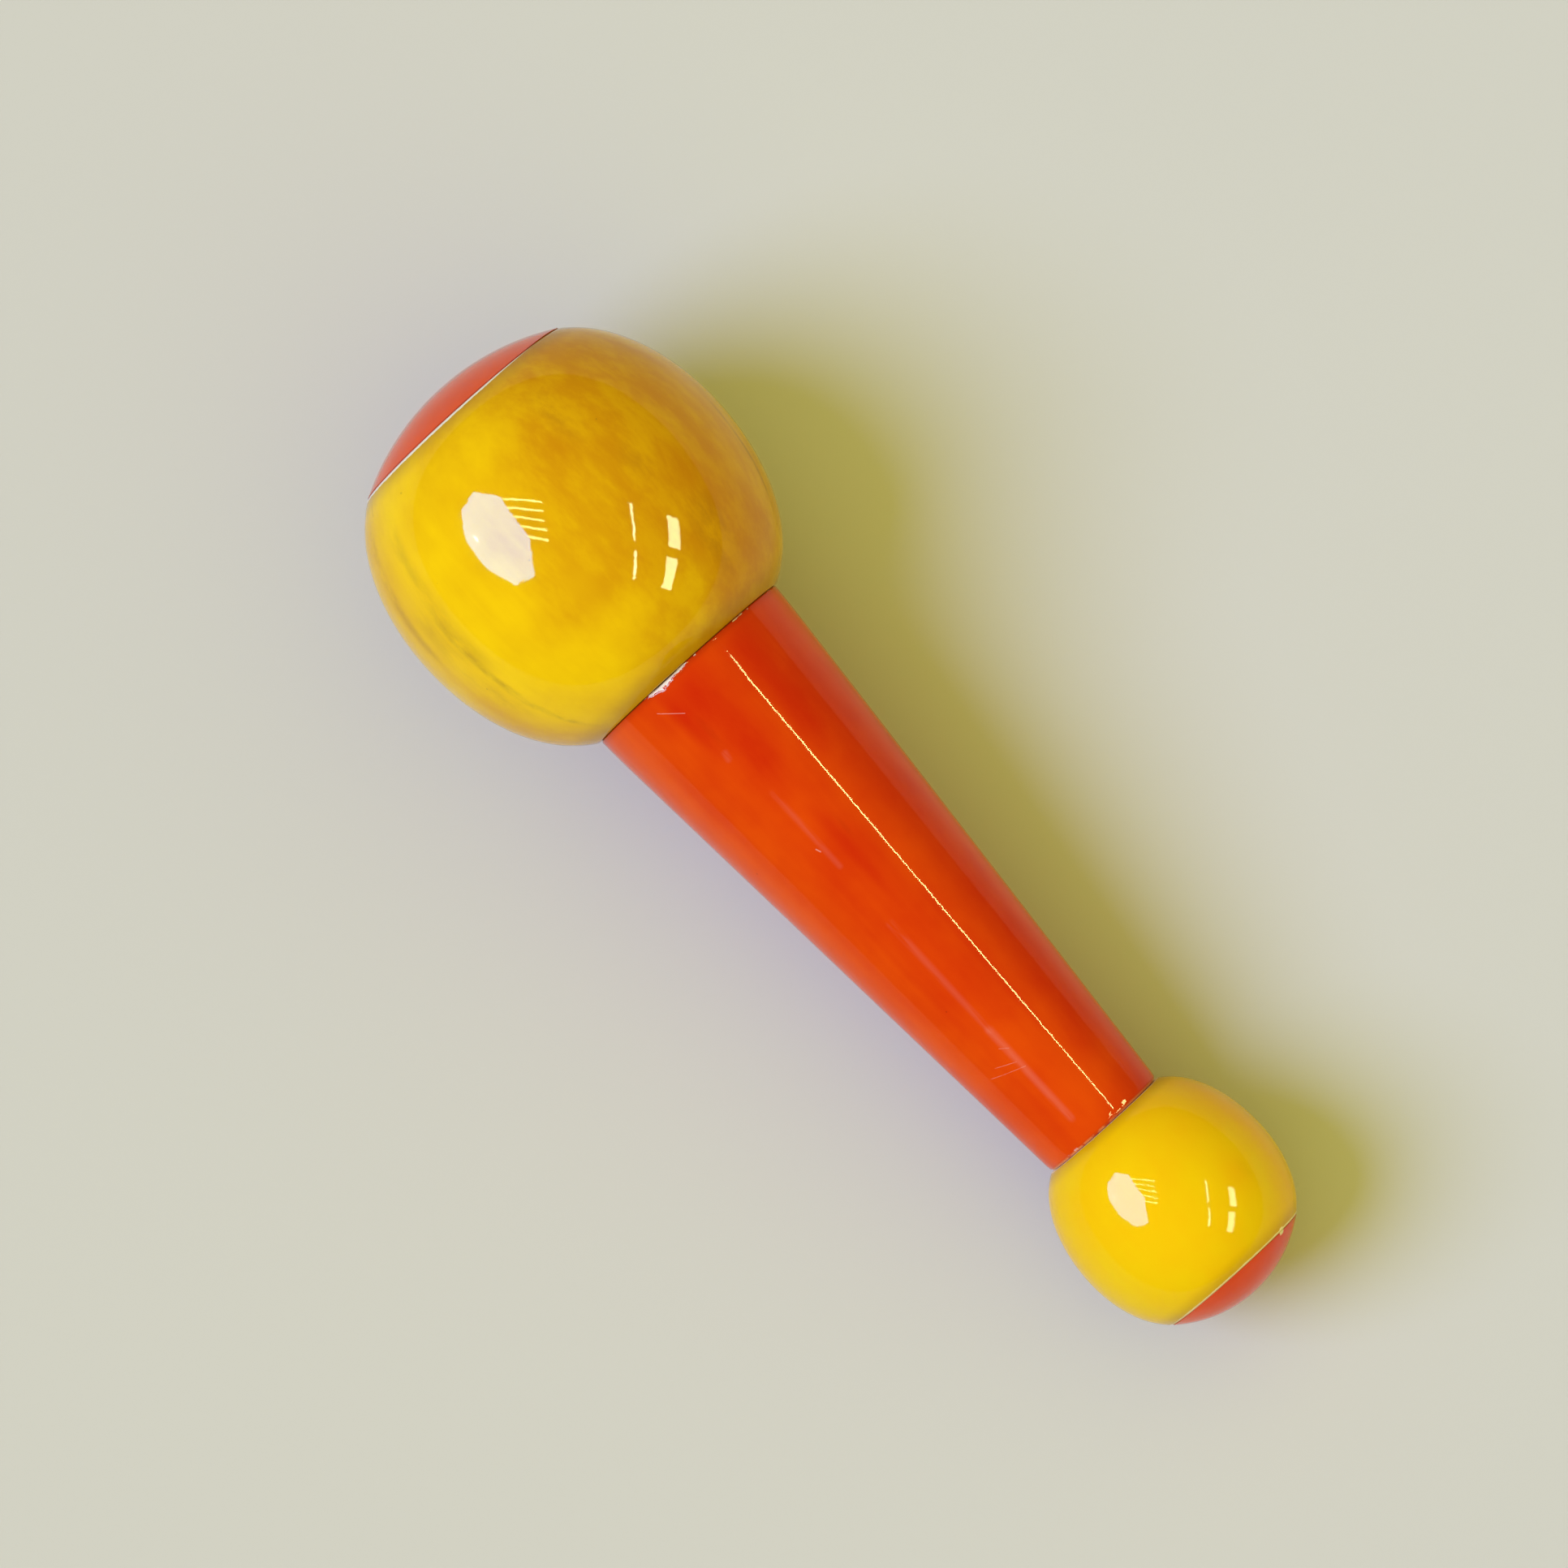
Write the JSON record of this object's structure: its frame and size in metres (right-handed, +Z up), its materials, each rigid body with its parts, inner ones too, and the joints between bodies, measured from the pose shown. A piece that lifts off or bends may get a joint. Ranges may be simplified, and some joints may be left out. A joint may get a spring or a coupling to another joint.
{
  "type": "wooden ball rattle",
  "caption": "Turned and lacquered wooden baby rattle: a large and a small hollow ball on a tapered handle, with domed end caps and loose pellets inside that rattle when shaken.",
  "frame": {"origin": "on the table, under the middle of the rattle as it lies on its two balls", "axes": "+Z up; +X along the rattle towards the large ball, whose end of the axis is the higher one; +Y to its left"},
  "size_m": [0.1598, 0.052, 0.0522],
  "materials": {
    "yellow_lacquer": "golden yellow clear gloss lacquer over pale wood, grain streaks showing through",
    "orange_red_lacquer": "orange-red clear gloss lacquer over pale wood",
    "bare_hardwood": "bare turned hardwood, sanded"
  },
  "bodies": {
    "rattle": {"handle": "orange_red_lacquer", "large_ball_shell": "yellow_lacquer", "large_ball_cap": "orange_red_lacquer", "small_ball_shell": "yellow_lacquer", "small_ball_cap": "orange_red_lacquer"},
    "large_pellet_1": {"large_pellet_1": "bare_hardwood"},
    "large_pellet_2": {"large_pellet_2": "bare_hardwood"},
    "large_pellet_3": {"large_pellet_3": "bare_hardwood"},
    "large_pellet_4": {"large_pellet_4": "bare_hardwood"},
    "large_pellet_5": {"large_pellet_5": "bare_hardwood"},
    "large_pellet_6": {"large_pellet_6": "bare_hardwood"},
    "large_pellet_7": {"large_pellet_7": "bare_hardwood"},
    "small_pellet_1": {"small_pellet_1": "bare_hardwood"},
    "small_pellet_2": {"small_pellet_2": "bare_hardwood"},
    "small_pellet_3": {"small_pellet_3": "bare_hardwood"}
  },
  "joints": [
    {"name": "large_pellet_1_jump", "type": "slide", "parent": "rattle", "child": "large_pellet_1", "axis": [0, 0, 1], "range_m": [0, 0.0324]},
    {"name": "large_pellet_2_jump", "type": "slide", "parent": "rattle", "child": "large_pellet_2", "axis": [0, 0, 1], "range_m": [0, 0.0299]},
    {"name": "large_pellet_3_jump", "type": "slide", "parent": "rattle", "child": "large_pellet_3", "axis": [0, 0, 1], "range_m": [0, 0.0298]},
    {"name": "large_pellet_4_jump", "type": "slide", "parent": "rattle", "child": "large_pellet_4", "axis": [0, 0, 1], "range_m": [0, 0.0304]},
    {"name": "large_pellet_5_jump", "type": "slide", "parent": "rattle", "child": "large_pellet_5", "axis": [0, 0, 1], "range_m": [0, 0.0304]},
    {"name": "large_pellet_6_jump", "type": "slide", "parent": "rattle", "child": "large_pellet_6", "axis": [0, 0, 1], "range_m": [0, 0.0298]},
    {"name": "large_pellet_7_jump", "type": "slide", "parent": "rattle", "child": "large_pellet_7", "axis": [0, 0, 1], "range_m": [0, 0.0299]},
    {"name": "small_pellet_1_jump", "type": "slide", "parent": "rattle", "child": "small_pellet_1", "axis": [0, 0, 1], "range_m": [0, 0.0148]},
    {"name": "small_pellet_2_jump", "type": "slide", "parent": "rattle", "child": "small_pellet_2", "axis": [0, 0, 1], "range_m": [0, 0.0143]},
    {"name": "small_pellet_3_jump", "type": "slide", "parent": "rattle", "child": "small_pellet_3", "axis": [0, 0, 1], "range_m": [0, 0.0148]}
  ]
}
